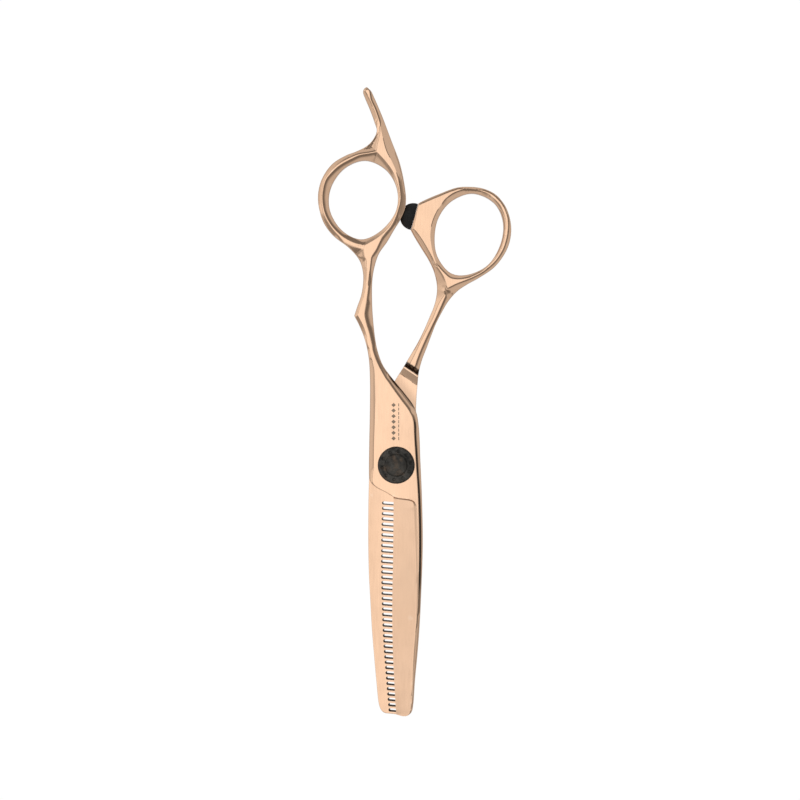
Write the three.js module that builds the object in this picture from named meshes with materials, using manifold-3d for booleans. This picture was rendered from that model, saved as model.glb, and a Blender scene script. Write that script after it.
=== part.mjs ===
// Hair thinning shears, lying flat with the tension dial up: a straight blade forged in one with the finger
// ring and its finger rest, over a toothed blade forged in one with the thumb ring. Millimetres, +Z up.
// The origin is on the pivot axis, in the plane that the shears lie on. The blades point along -Y.
import * as THREE from "three";
import { mergeVertices } from "three/addons/utils/BufferGeometryUtils.js";
import Module from "manifold-3d";

const wasm = await Module();
wasm.setup();

// ---------------------------------------------------------------- driving dimensions
const THICKNESS = 5.0; // both handles, and both blades together at the pivot
const MID = THICKNESS / 2; // the plane where the blades meet
const BLADE_GAP = 0.1; // between the two inner faces
const ROUNDING = 0.7; // how far the rounded edges reach inwards
const STEP = 2.0; // spacing of the points along an outline
const FAR = 130; // longer than any part

const STRAIGHT_INNER_Z = MID + BLADE_GAP / 2;
const TOOTHED_INNER_Z = MID - BLADE_GAP / 2;

const TIP_THICKNESS = 1.45; // of each blade, at its spine
const BLADE_START_Y = -9; // where the blades start to thin
const BLADE_END_Y = -68;
const EDGE_THICKNESS = 0.25; // left along the straight cutting edge
const TOOTH_TIP_THICKNESS = 0.6;

const SLOTS = 40;
const FIRST_SLOT_Y = -10.26;
const LAST_SLOT_Y = -66.15;
const SLOT_WIDTH = 0.9;
const SLOT_TILT = THREE.MathUtils.degToRad(-5);

// From the full shank a hollow drops to a ledge, which slopes down to the inner face.
const SHANK_STEP = { run: 1.46, ledgeRun: 2.1, ledgeHeight: 0.32 };

// Pivot stack: radii, and heights above the plane that the shears lie on.
const BOLT = { head: 3.5, shank: 2.0, flat: 1.6, thread: 1.5, headTop: 0.65, keyFrom: 2.5, keyTo: 4.35, top: 5.6 };
const FIT = 0.05; // clearance of a turning or sliding fit
const BUSHING = { outer: 2.7, from: 0.95, to: 2.1 };
const COUNTERBORE = { radius: 3.6, depth: 0.9 };
const GLIDE = { inner: 2.1, outer: 4.4, from: 2.18, to: 2.5, recess: 4.5, floor: 2.15 };
const SPRING_WELL = { radius: 3.85, floor: 3.4 };
const SPRING_WASHER = { inner: 2.2, outer: 3.6, from: 3.43, to: 3.85, sheet: 0.2 };
const CLICK_PLATE = { outer: 3.75, from: 3.9, to: 4.25, dents: 24, dentDepth: 0.1 };
const CLICK_SPRING = { inner: 2.1, outer: 3.5, from: 4.4, to: 4.52, bump: 0.35, bumpLow: 4.28 };
const DIAL = { radius: 5.0, hub: 3.7, from: 4.57, flange: 5.2, top: 6.6, ledge: 5.35, well: 2.3, capFloor: 6.1 };
const DIAL_PITS = { count: 10, circle: 3.85, radius: 0.45, depth: 0.35, firstDeg: 9 };
const CAP = { radius: 3.0, from: 6.13, rim: 6.5, top: 6.75 };
const RETAINER = { head: 2.1, shank: 0.45, from: 4.65, headFrom: 5.63, top: 5.95, slot: 0.5 };

// Rubber bumper on the thumb ring's boss.
const BUMPER = { x: 4.94, y: 66.95, halfWidth: 3.7, halfThickness: 2.35, height: 3.9, fullness: 2.4, gap: 0.12 };
const BUMPER_AXIS = new THREE.Vector3(-0.9636, 0.2727, 0).normalize();
const PIN = { radius: 0.95, intoBoss: 2.5, intoBumper: 1.9 };

const ROUND = 32; // sides of a turned piece

// ---------------------------------------------------------------- outlines, seen from above
// Each stretch is a smooth curve through its points, and stretches meet at corners.
const point = ([x, y]) => new THREE.Vector3(x, y, 0);

function stretch(points, closed = false) {
  const curve = new THREE.CatmullRomCurve3(points.map(point), closed, "centripetal");
  const steps = points.length === 2 ? 1 : Math.max(points.length, Math.round(curve.getLength() / STEP));
  return curve.getSpacedPoints(steps).slice(0, -1).map((p) => new THREE.Vector2(p.x, p.y));
}

function outline(...stretches) {
  return stretches.flatMap((points, i) => {
    const next = stretches[(i + 1) % stretches.length][0];
    return stretch([...points, next]);
  });
}

// From the tip of the finger rest, down the right side of the ring and shank, to the blade's tip.
const STRAIGHT_RIGHT = [
  [-7.9, 101.9], [-6.8, 100.8], [-5.95, 99.1], [-3.85, 94.2], [-1.4, 87.75], [1.0, 81.3], [2.35, 74.8],
  [2.63, 71.5], [2.3, 68.9], [1.15, 66.3], [-0.6, 63.45], [-2.5, 60.2], [-4.7, 57.0], [-5.9, 53.4],
  [-6.45, 50.0], [-6.55, 45.0], [-6.3, 39.7], [-5.55, 33.2], [-4.8, 30.0], [-3.5, 26.75], [-1.3, 23.7],
  [2.5, 19.0], [4.6, 16.1], [5.5, 13.9], [6.1, 10.0], [6.5, 1.35], [6.95, -9.45], [7.15, -21.6],
  [6.7, -35.1], [6.28, -43.7], [5.7, -51.3], [5.06, -58.05], [4.6, -64.5], [4.15, -66.6], [3.05, -67.6],
  [2.1, -67.8], [0.95, -67.6],
];
const CUTTING_EDGE = [
  [0.05, -67.35], [-0.1, -66.0], [-0.47, -59.4], [-0.82, -52.65], [-1.05, -44.5], [-1.07, -36.5],
  [-0.88, -25.65], [-0.76, -15.0],
];
const STRAIGHT_LEFT = [
  [-0.74, -8.64], [-2.8, -7.35], [-5.45, -5.95], [-6.7, -4.85], [-7.28, -3.4], [-7.36, -1.35], [-7.28, 5.7],
  [-7.1, 15.4], [-7.1, 23.5], [-7.36, 28.35], [-7.9, 31.6], [-8.8, 34.8], [-10.2, 38.1],
];
// From the spur, up the left side of the shank and round the finger ring to the finger rest.
const STRAIGHT_RING = [
  [-11.33, 40.23], [-10.45, 42.9], [-9.5, 45.6], [-8.95, 48.9], [-9.0, 52.1], [-10.0, 55.35], [-12.75, 58.6],
  [-16.95, 61.85], [-19.45, 65.1], [-20.6, 68.3], [-21.1, 71.5], [-20.8, 74.8], [-19.6, 78.0], [-17.1, 81.3],
  [-13.3, 83.6], [-10.9, 84.5], [-7.8, 86.1], [-5.9, 88.3], [-5.25, 90.3], [-5.9, 92.6], [-7.1, 95.9],
  [-8.45, 99.1], [-8.95, 100.6], [-8.6, 101.5],
];
const FINGER_HOLE = [
  [-8.28, 82.13], [-2.69, 79.54], [0.2, 74.3], [-0.15, 68.34], [-4.5, 62.91], [-9.54, 60.86],
  [-14.62, 63.26], [-17.94, 68.88], [-17.67, 74.66], [-13.89, 80.08],
];

// The boss's end face, then round the thumb ring and down the right side to the toothed blade.
const THUMB_BOSS = [[3.93, 63.37]];
const TOOTHED_RIGHT = [
  [5.95, 70.52], [7.5, 71.35], [11.5, 73.05], [16.4, 74.8], [19.8, 75.0], [23.2, 74.6], [26.4, 73.2],
  [28.3, 71.4], [30.1, 68.3], [31.0, 63.45], [30.05, 58.6], [26.8, 53.7], [22.3, 50.5], [19.4, 48.9],
  [16.7, 47.1], [14.2, 44.4], [12.35, 41.3], [10.7, 38.1], [9.4, 34.8], [8.2, 31.6], [6.95, 28.35],
  [6.1, 25.1], [5.75, 21.9], [5.4, 17.0], [5.3, 12.0], [5.45, 5.0], [5.7, -1.0], [5.4, -4.5], [4.4, -6.6],
  [2.9, -8.0],
];
const TOOTH_TIPS = [
  [1.3, -8.9], [1.15, -25.0], [0.95, -38.0], [1.0, -48.0], [1.35, -57.0], [2.0, -65.8],
];
const TOOTHED_LEFT = [
  [1.95, -67.0], [1.2, -67.35], [-1.2, -67.18], [-3.17, -66.93], [-3.8, -66.5], [-4.3, -65.75],
  [-4.7, -64.5], [-5.4, -58.05], [-6.0, -51.3], [-6.55, -44.55], [-7.0, -36.45], [-7.36, -29.7],
  [-7.55, -21.6], [-7.5, -9.45], [-7.36, -4.0], [-7.2, 3.0], [-6.9, 9.0], [-6.2, 13.2], [-4.4, 16.8],
  [-1.9, 20.2], [-0.1, 23.2], [2.1, 26.7], [4.05, 30.0], [5.9, 33.2], [7.5, 36.45], [8.9, 39.7],
  [10.2, 42.9], [10.85, 45.6], [11.0, 48.3], [10.2, 52.1], [8.7, 55.35], [6.7, 58.6], [4.7, 61.9],
];
const THUMB_HOLE = [
  [20.53, 73.25], [26.37, 70.71], [28.77, 65.75], [28.17, 59.72], [24.42, 53.7], [18.4, 51.19],
  [14.51, 51.87], [11.08, 56.3], [10.35, 61.24], [11.38, 66.61], [14.73, 71.04],
];

// The line along which the straight blade's flat face gives way to the ground face.
const GRIND_LINE = [
  [-0.9, -8.4], [1.0, -9.0], [3.4, -9.5], [4.66, -10.8], [5.33, -12.9], [5.65, -16.5], [5.87, -25.65],
  [5.74, -36.5], [5.2, -47.25], [4.5, -58.0], [4.0, -65.0], [3.6, -70.0],
];
const SLOT_ROOTS = [
  [-3.87, -10.26], [-4.12, -21.6], [-4.12, -28.35], [-3.96, -37.0], [-3.58, -47.25], [-2.93, -56.2],
  [-2.12, -66.15],
];

// ---------------------------------------------------------------- solids
function solid(geometry) {
  geometry.deleteAttribute("normal");
  geometry.deleteAttribute("uv");
  const merged = mergeVertices(geometry, 1e-4);
  const triVerts = new Uint32Array(merged.index.array);
  const made = new wasm.Manifold(
    new wasm.Mesh({ numProp: 3, vertProperties: merged.attributes.position.array, triVerts }),
  );
  if (made.volume() > 0) return made;
  for (let i = 0; i < triVerts.length; i += 3) {
    [triVerts[i + 1], triVerts[i + 2]] = [triVerts[i + 2], triVerts[i + 1]];
  }
  return new wasm.Manifold(
    new wasm.Mesh({ numProp: 3, vertProperties: merged.attributes.position.array, triVerts }),
  );
}

function geometryOf(made) {
  const { numProp, vertProperties, triVerts } = made.getMesh();
  const geometry = new THREE.BufferGeometry();
  geometry.setAttribute("position", new THREE.BufferAttribute(new Float32Array(vertProperties), numProp));
  geometry.setIndex(new THREE.BufferAttribute(new Uint32Array(triVerts), 1));
  return geometry;
}

// Turns a profile of [radius, height] points about Z.
function turned(profile, sides = ROUND) {
  const points = [...profile, profile[0]].map(([r, z]) => new THREE.Vector2(r, z));
  return solid(new THREE.LatheGeometry(points, sides).rotateX(Math.PI / 2));
}

const disc = (radius, from, to, sides = ROUND) =>
  turned([[0, from], [radius, from], [radius, to], [0, to]], sides);
const washer = (inner, outer, from, to, sides = ROUND) =>
  turned([[inner, from], [outer, from], [outer, to], [inner, to]], sides);

// A prism over a closed outline of Vector2s.
function prism(points, from, to) {
  const shape = new THREE.Shape(points);
  return solid(
    new THREE.ExtrudeGeometry(shape, { depth: to - from, bevelEnabled: false }).translate(0, 0, from),
  );
}

function block(x0, x1, y0, y1, z0, z1) {
  const geometry = new THREE.BoxGeometry(x1 - x0, y1 - y0, z1 - z0);
  return solid(geometry.translate((x0 + x1) / 2, (y0 + y1) / 2, (z0 + z1) / 2));
}

// Everything on one side of the plane through three points: above it for up = 1, below it for up = -1.
function halfSpace(a, b, c, up) {
  const [pa, pb, pc] = [a, b, c].map((p) => new THREE.Vector3(...p));
  const along = pb.clone().sub(pa).normalize();
  const normal = along.clone().cross(pc.clone().sub(pa)).normalize();
  if (normal.z * up < 0) normal.negate();
  const across = normal.clone().cross(along);
  const geometry = new THREE.BoxGeometry(2 * FAR, 2 * FAR, FAR).translate(0, 0, FAR / 2);
  geometry.applyMatrix4(new THREE.Matrix4().makeBasis(along, across, normal).setPosition(pa));
  return solid(geometry);
}

// One forging: its outline with a rounded edge all round, above and below. The outline runs clockwise
// and so does the hole, which is turned round to face the other way.
function forging(points, hole) {
  const shape = new THREE.Shape(points);
  shape.holes.push(new THREE.Path(stretch(hole, true).reverse()));
  const roundHeight = 0.72 * MID;
  const geometry = new THREE.ExtrudeGeometry(shape, {
    depth: THICKNESS - 2 * roundHeight,
    bevelThickness: roundHeight,
    bevelSize: ROUNDING,
    bevelOffset: -ROUNDING,
    bevelSegments: 3,
  });
  return solid(geometry.translate(0, 0, roundHeight));
}

// Clears one side of a forging beyond its step, where the other half passes over or under it.
// towardHandle is the direction up the shank, square to the step.
function stepCutter(start, towardHandle, face, outside) {
  const height = outside - face;
  const ledge = face + Math.sign(height) * SHANK_STEP.ledgeHeight;
  const profile = new THREE.Shape([
    new THREE.Vector2(-FAR, face),
    new THREE.Vector2(-SHANK_STEP.ledgeRun, face),
    new THREE.Vector2(0, ledge),
    new THREE.Vector2(SHANK_STEP.run * 0.6, face + 0.45 * height),
    new THREE.Vector2(SHANK_STEP.run, outside),
    new THREE.Vector2(SHANK_STEP.run * 1.2, face + 1.4 * height),
    new THREE.Vector2(-FAR, face + 1.4 * height),
  ]);
  const reach = FAR / 2;
  const geometry = new THREE.ExtrudeGeometry(profile, { depth: 2 * reach, bevelEnabled: false });
  const handle = new THREE.Vector3(towardHandle[0], towardHandle[1], 0).normalize();
  const up = new THREE.Vector3(0, 0, 1);
  const side = handle.clone().cross(up);
  geometry.translate(0, 0, -reach);
  geometry.applyMatrix4(new THREE.Matrix4().makeBasis(handle, up, side).setPosition(...start, 0));
  return solid(geometry);
}

// A round bar with two flats, which keys what sits on it against turning.
const keyed = (radius, flat, from, to) =>
  disc(radius, from, to).intersect(block(-radius, radius, -flat, flat, from - 1, to + 1));

const material = (color, roughness, metalness) =>
  new THREE.MeshStandardMaterial({ color, roughness, metalness });
const roseGold = material(0xe8b898, 0.25, 1.0);
const blackDial = material(0x1d1b1a, 0.35, 0.6);
const rubber = material(0x141312, 0.8, 0.0);
const steel = material(0xb9bcc0, 0.3, 1.0);
const springSteel = material(0x8f9296, 0.35, 1.0);
const bronze = material(0xb08d57, 0.4, 1.0);
const polymer = material(0xe9e7df, 0.6, 0.0);

const shears = new THREE.Group();
function add(name, made, finish) {
  const mesh = new THREE.Mesh(geometryOf(made), finish);
  mesh.name = name;
  shears.add(mesh);
}

// ---------------------------------------------------------------- the straight blade half
const straightOutline = () => outline(STRAIGHT_RIGHT, CUTTING_EDGE, STRAIGHT_LEFT, STRAIGHT_RING);

function straightHalf() {
  const ground = prism(
    [...stretch(GRIND_LINE), new THREE.Vector2(3.6, -72), new THREE.Vector2(-12, -72), new THREE.Vector2(-12, -8)],
    MID,
    THICKNESS + 1,
  );
  const edgeZ = STRAIGHT_INNER_Z + EDGE_THICKNESS;
  const grind = halfSpace([-0.95, -10, edgeZ], [0.0, -67, edgeZ], [5.7, -16, THICKNESS - 0.3], 1);
  const thinning = halfSpace(
    [0, BLADE_START_Y, THICKNESS],
    [0, BLADE_END_Y, STRAIGHT_INNER_Z + TIP_THICKNESS],
    [5, BLADE_START_Y, THICKNESS],
    1,
  ).intersect(block(-FAR, FAR, -FAR, BLADE_START_Y, -FAR, FAR));
  const bore = keyed(BOLT.shank + FIT, BOLT.flat + FIT, MID - 1, SPRING_WELL.floor + 1);
  return forging(straightOutline(), FINGER_HOLE)
    .subtract(stepCutter([-5.0, 25.2], [-0.56, 0.83], STRAIGHT_INNER_Z, 0))
    .subtract(ground.intersect(grind))
    .subtract(thinning)
    .subtract(bore)
    .subtract(disc(SPRING_WELL.radius, SPRING_WELL.floor, THICKNESS + 1));
}

// ---------------------------------------------------------------- the toothed blade half
// Slots cut from the tooth tips back to their rounded roots.
function toothSlots() {
  const roots = new THREE.CatmullRomCurve3(SLOT_ROOTS.map(point), false, "centripetal");
  const rootX = (y) => {
    const samples = roots.getSpacedPoints(80);
    return samples.reduce((best, p) => (Math.abs(p.y - y) < Math.abs(best.y - y) ? p : best)).x;
  };
  const radius = SLOT_WIDTH / 2;
  const reach = 8;
  const slots = Array.from({ length: SLOTS }, (_, i) => {
    const y = FIRST_SLOT_Y + ((LAST_SLOT_Y - FIRST_SLOT_Y) * i) / (SLOTS - 1);
    const shape = new THREE.Shape();
    shape.moveTo(reach, -radius);
    shape.lineTo(reach, radius);
    shape.lineTo(0, radius);
    shape.absarc(0, 0, radius, Math.PI / 2, -Math.PI / 2, false);
    const geometry = new THREE.ExtrudeGeometry(shape, { depth: THICKNESS, bevelEnabled: false, curveSegments: 4 });
    geometry.rotateZ(SLOT_TILT).translate(rootX(y) + radius, y, -1);
    return solid(geometry);
  });
  return wasm.Manifold.union(slots);
}

function toothedHalf() {
  const tipZ = TOOTHED_INNER_Z - TOOTH_TIP_THICKNESS;
  const grind = halfSpace([1.3, -10, tipZ], [1.9, -66, tipZ], [-6.2, -16, 0.3], -1)
    .intersect(block(-FAR, FAR, -FAR, BLADE_START_Y, -FAR, FAR));
  const thinning = halfSpace(
    [0, BLADE_START_Y, 0],
    [0, BLADE_END_Y, TOOTHED_INNER_Z - TIP_THICKNESS],
    [5, BLADE_START_Y, 0],
    -1,
  ).intersect(block(-FAR, FAR, -FAR, BLADE_START_Y, -FAR, FAR));
  const pinHole = alongBumper(disc(PIN.radius + FIT, -PIN.intoBoss - FIT, 1, 16));
  return forging(outline(THUMB_BOSS, TOOTHED_RIGHT, TOOTH_TIPS, TOOTHED_LEFT), THUMB_HOLE)
    .subtract(stepCutter([4.1, 25.25], [0.569, 0.822], TOOTHED_INNER_Z, THICKNESS))
    .subtract(grind)
    .subtract(thinning)
    .subtract(toothSlots())
    .subtract(disc(COUNTERBORE.radius, -1, COUNTERBORE.depth))
    .subtract(disc(BUSHING.outer + FIT, 0, THICKNESS))
    .subtract(disc(GLIDE.recess, GLIDE.floor, THICKNESS))
    .subtract(pinHole);
}

// ---------------------------------------------------------------- the rubber bumper and its pin
// Lays a piece made along +Z, with its base at z = 0, on the boss's end face.
function alongBumper(made) {
  const up = new THREE.Vector3(0, 0, 1);
  const side = BUMPER_AXIS.clone().cross(up);
  const place = new THREE.Matrix4().makeBasis(side.negate(), up, BUMPER_AXIS);
  place.setPosition(BUMPER.x, BUMPER.y, MID);
  return made.transform(place.elements);
}

// An oval dome, flattened where the closed finger ring presses on it.
function bumper() {
  const arc = Array.from({ length: 9 }, (_, i) => {
    const angle = (i * Math.PI) / 16;
    const power = 2 / BUMPER.fullness;
    return [BUMPER.halfWidth * Math.cos(angle) ** power, FIT + BUMPER.height * Math.sin(angle) ** power];
  });
  arc[arc.length - 1][0] = 0;
  const dome = turned([[0, FIT], ...arc], 24).scale([1, BUMPER.halfThickness / BUMPER.halfWidth, 1]);
  const ring = new THREE.ExtrudeGeometry(new THREE.Shape(straightOutline()), {
    depth: THICKNESS,
    bevelThickness: 0.1,
    bevelSize: 0,
    bevelOffset: BUMPER.gap,
    bevelSegments: 1,
  });
  return alongBumper(dome.subtract(disc(PIN.radius + FIT, -1, PIN.intoBumper + FIT, 16))).subtract(solid(ring));
}

const bumperPin = () => alongBumper(disc(PIN.radius, -PIN.intoBoss, PIN.intoBumper, 16));

// ---------------------------------------------------------------- the pivot stack, from the back to the dial
function pivotBolt() {
  return disc(BOLT.head, 0, BOLT.headTop)
    .add(disc(BOLT.shank, BOLT.headTop / 2, BOLT.keyFrom))
    .add(keyed(BOLT.shank, BOLT.flat, BOLT.keyFrom - 0.1, BOLT.keyTo))
    .add(disc(BOLT.thread, BOLT.keyTo - 0.1, BOLT.top))
    .subtract(disc(RETAINER.shank + FIT, RETAINER.from - FIT, BOLT.top + 1, 12));
}

const backWasher = () => washer(BOLT.shank + 2 * FIT, BOLT.head, BOLT.headTop + FIT, COUNTERBORE.depth - 0.02);
const pivotBushing = () => washer(BOLT.shank + FIT, BUSHING.outer, BUSHING.from, BUSHING.to);
const glideWasher = () => washer(GLIDE.inner, GLIDE.outer, GLIDE.from, GLIDE.to);

// A conical spring washer, highest at its inner edge.
function springWasher() {
  const { inner, outer, from, to, sheet } = SPRING_WASHER;
  return turned([[inner, to - sheet], [outer, from], [outer, from + sheet], [inner, to]]);
}

// A washer that the bolt's flats keep from turning, with radial dents that the dial clicks over.
function clickPlate() {
  const { outer, from, to, dents, dentDepth } = CLICK_PLATE;
  const plate = disc(outer, from, to).subtract(keyed(BOLT.shank + FIT, BOLT.flat + FIT, from - 1, to + 1));
  const side = dentDepth * Math.SQRT2;
  const cutters = Array.from({ length: dents }, (_, i) => {
    const bar = new THREE.BoxGeometry(outer, side, side).rotateX(Math.PI / 4);
    bar.translate(outer / 2 + BOLT.shank + 0.5, 0, to);
    return solid(bar.rotateZ((i * 2 * Math.PI) / dents));
  });
  return plate.subtract(wasm.Manifold.union(cutters));
}

// A thin spring plate under the dial, with two bumps that drop into the dents.
function clickSpring() {
  const { inner, outer, from, to, bump, bumpLow } = CLICK_SPRING;
  const middle = (inner + outer) / 2;
  const bumps = [-1, 1].map((side) => turned([[0, bumpLow], [bump, from], [bump, from + 0.06], [0, from + 0.06]], 12)
    .translate([side * middle, 0, 0]));
  return washer(inner, outer, from, to).add(wasm.Manifold.union(bumps));
}

function dial() {
  const { radius, hub, from, flange, top, ledge, well, capFloor } = DIAL;
  const edge = 0.3;
  const body = turned([
    [BOLT.thread + FIT, from], [hub, from], [hub, flange], [radius - edge / 2, flange], [radius, flange + edge / 2],
    [radius, top - edge], [radius - edge, top], [CAP.radius + FIT, top], [CAP.radius + FIT, capFloor],
    [well, capFloor], [well, ledge], [BOLT.thread + FIT, ledge],
  ]);
  const pits = Array.from({ length: DIAL_PITS.count }, (_, i) => {
    const angle = THREE.MathUtils.degToRad(DIAL_PITS.firstDeg) + (i * 2 * Math.PI) / DIAL_PITS.count;
    const cone = turned([[0, top - DIAL_PITS.depth], [DIAL_PITS.radius, top], [DIAL_PITS.radius, top + 1], [0, top + 1]], 12);
    return cone.translate([DIAL_PITS.circle * Math.cos(angle), DIAL_PITS.circle * Math.sin(angle), 0]);
  });
  return body.subtract(wasm.Manifold.union(pits));
}

const dialCap = () =>
  turned([[0, CAP.from], [CAP.radius, CAP.from], [CAP.radius, CAP.rim], [CAP.radius * 0.7, CAP.top - 0.08], [0, CAP.top]]);

function retainingScrew() {
  const { head, shank, from, headFrom, top, slot } = RETAINER;
  const body = disc(head, headFrom, top, 24).add(disc(shank, from, headFrom + 0.1, 12));
  return body.subtract(block(-head - 1, head + 1, -slot / 2, slot / 2, top - 0.15, top + 1));
}

add("straight_blade_half", straightHalf(), roseGold);
add("toothed_blade_half", toothedHalf(), roseGold);
add("bumper", bumper(), rubber);
add("bumper_pin", bumperPin(), steel);
add("pivot_bolt", pivotBolt(), steel);
add("back_washer", backWasher(), bronze);
add("pivot_bushing", pivotBushing(), bronze);
add("glide_washer", glideWasher(), polymer);
add("spring_washer", springWasher(), springSteel);
add("click_plate", clickPlate(), steel);
add("click_spring", clickSpring(), springSteel);
add("dial", dial(), blackDial);
add("dial_cap", dialCap(), blackDial);
add("retaining_screw", retainingScrew(), steel);

export default shears;
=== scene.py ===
"""Hair thinning shears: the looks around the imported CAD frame.

Shapes are worked out in millimetres in the row frame and written to meshes in metres. Each forged half is a
relief: a finely triangulated plan view with heights worked out from distances to its flats and its outline.
"""

import math

import bpy
import numpy as np
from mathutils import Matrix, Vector
from mathutils.geometry import delaunay_2d_cdt


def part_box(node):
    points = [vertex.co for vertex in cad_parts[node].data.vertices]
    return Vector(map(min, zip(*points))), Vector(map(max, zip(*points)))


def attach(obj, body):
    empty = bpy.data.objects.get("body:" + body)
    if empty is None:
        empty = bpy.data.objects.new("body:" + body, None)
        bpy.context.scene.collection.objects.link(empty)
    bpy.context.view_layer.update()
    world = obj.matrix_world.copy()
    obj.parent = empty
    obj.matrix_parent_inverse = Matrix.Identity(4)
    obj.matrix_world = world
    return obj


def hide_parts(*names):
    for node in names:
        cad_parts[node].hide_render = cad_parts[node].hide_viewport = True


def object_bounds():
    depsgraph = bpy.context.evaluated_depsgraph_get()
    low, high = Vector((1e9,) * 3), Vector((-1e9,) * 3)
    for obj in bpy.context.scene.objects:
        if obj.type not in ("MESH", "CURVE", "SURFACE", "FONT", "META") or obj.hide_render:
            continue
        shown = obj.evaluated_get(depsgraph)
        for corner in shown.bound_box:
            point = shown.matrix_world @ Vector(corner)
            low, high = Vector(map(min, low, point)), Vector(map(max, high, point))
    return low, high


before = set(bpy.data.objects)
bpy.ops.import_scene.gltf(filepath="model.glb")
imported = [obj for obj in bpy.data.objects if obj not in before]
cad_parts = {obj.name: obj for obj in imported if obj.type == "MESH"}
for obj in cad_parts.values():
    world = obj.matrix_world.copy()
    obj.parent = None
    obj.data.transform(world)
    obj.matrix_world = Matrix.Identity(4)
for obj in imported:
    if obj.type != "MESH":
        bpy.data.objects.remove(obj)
cad_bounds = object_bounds()

MM = 0.001

# ---------------------------------------------------------------- sizes and places in the CAD frame
THICKNESS = 5.0
MID = THICKNESS / 2
BLADE_GAP = 0.1
STRAIGHT_INNER_Z = MID + BLADE_GAP / 2
TOOTHED_INNER_Z = MID - BLADE_GAP / 2
TIP_THICKNESS = 1.45
BLADE_START_Y = -9.0
BLADE_END_Y = -68.0
EDGE_THICKNESS = 0.25
TOOTH_TIP_THICKNESS = 0.6

SLOTS = 40
FIRST_SLOT_Y = -10.26
LAST_SLOT_Y = -66.15
SLOT_WIDTH = 0.9
SLOT_TILT = math.radians(-5)
SLOT_TOP_RADIUS = 0.44
OPENING_RADII = (0.28, 0.2)
OPENING_ASIDE = 0.2
SLOT_WALL_DEPTH = 1.1
SLOT_LENGTH = 5.0
SLOT_SIDE_POINTS = 12
SLOT_ARC_POINTS = 11

# ---------------------------------------------------------------- outlines, in mm, seen from above
# Each stretch is a smooth curve through its points, and stretches meet at corners. Most points of the outer
# outlines were measured on the photograph's silhouette, row by row.
STRAIGHT_RIGHT = [
    (-7.9, 101.9), (-6.8, 100.8), (-5.95, 99.1), (-3.85, 94.2), (-1.4, 87.75), (1.0, 81.3), (2.35, 74.8),
    (2.63, 71.5), (2.3, 68.9), (1.15, 66.3), (-0.6, 63.45), (-2.5, 60.2), (-4.7, 57.0), (-5.9, 53.4),
    (-6.45, 50.0), (-6.55, 45.0), (-6.3, 39.7), (-5.55, 33.2), (-4.8, 30.0), (-3.5, 26.75), (-1.3, 23.7),
    (2.5, 19.0), (4.6, 16.1), (5.5, 13.9), (6.1, 10.0), (6.5, 1.35), (6.95, -9.45), (7.15, -21.6),
    (6.7, -35.1), (6.28, -43.7), (5.7, -51.3), (5.06, -58.05), (4.6, -64.5), (4.15, -66.6), (3.05, -67.6),
    (2.1, -67.8), (0.95, -67.6),
]
CUTTING_EDGE = [
    (0.05, -67.35), (-0.1, -66.0), (-0.47, -59.4), (-0.82, -52.65), (-1.05, -44.5), (-1.07, -36.5),
    (-0.88, -25.65), (-0.76, -15.0),
]
STRAIGHT_LEFT = [
    (-0.74, -8.64), (-2.8, -7.35), (-5.45, -5.95), (-6.7, -4.85), (-7.28, -3.4), (-7.36, -1.35), (-7.28, 5.7),
    (-7.1, 15.4), (-7.1, 23.5), (-7.36, 28.35), (-7.9, 31.6), (-8.8, 34.8), (-10.2, 38.1),
]
STRAIGHT_RING = [
    (-11.33, 40.23), (-10.45, 42.9), (-9.5, 45.6), (-8.95, 48.9), (-9.0, 52.1), (-10.0, 55.35),
    (-12.75, 58.6), (-16.95, 61.85), (-19.45, 65.1), (-20.6, 68.3), (-21.1, 71.5), (-20.8, 74.8),
    (-19.6, 78.0), (-17.1, 81.3), (-13.3, 83.6), (-10.9, 84.5), (-7.8, 86.1), (-5.9, 88.3), (-5.25, 90.3),
    (-5.9, 92.6), (-7.1, 95.9), (-8.45, 99.1), (-8.95, 100.6), (-8.6, 101.5),
]
STRAIGHT_OUTLINE = [STRAIGHT_RIGHT, CUTTING_EDGE, STRAIGHT_LEFT, STRAIGHT_RING]
FINGER_HOLE = [
    (-8.28, 82.13), (-2.69, 79.54), (0.2, 74.3), (-0.15, 68.34), (-4.5, 62.91), (-9.54, 60.86),
    (-14.62, 63.26), (-17.94, 68.88), (-17.67, 74.66), (-13.89, 80.08),
]
THUMB_BOSS = [(3.93, 63.37)]
TOOTHED_RIGHT = [
    (5.95, 70.52), (7.5, 71.35), (11.5, 73.05), (16.4, 74.8), (19.8, 75.0), (23.2, 74.6), (26.4, 73.2),
    (28.3, 71.4), (30.1, 68.3), (31.0, 63.45), (30.05, 58.6), (26.8, 53.7), (22.3, 50.5), (19.4, 48.9),
    (16.7, 47.1), (14.2, 44.4), (12.35, 41.3), (10.7, 38.1), (9.4, 34.8), (8.2, 31.6), (6.95, 28.35),
    (6.1, 25.1), (5.75, 21.9), (5.4, 17.0), (5.3, 12.0), (5.45, 5.0), (5.7, -1.0), (5.4, -4.5), (4.4, -6.6),
    (2.9, -8.0),
]
TOOTH_TIPS = [
    (1.3, -8.9), (1.15, -25.0), (0.95, -38.0), (1.0, -48.0), (1.35, -57.0), (2.0, -65.8),
]
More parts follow.
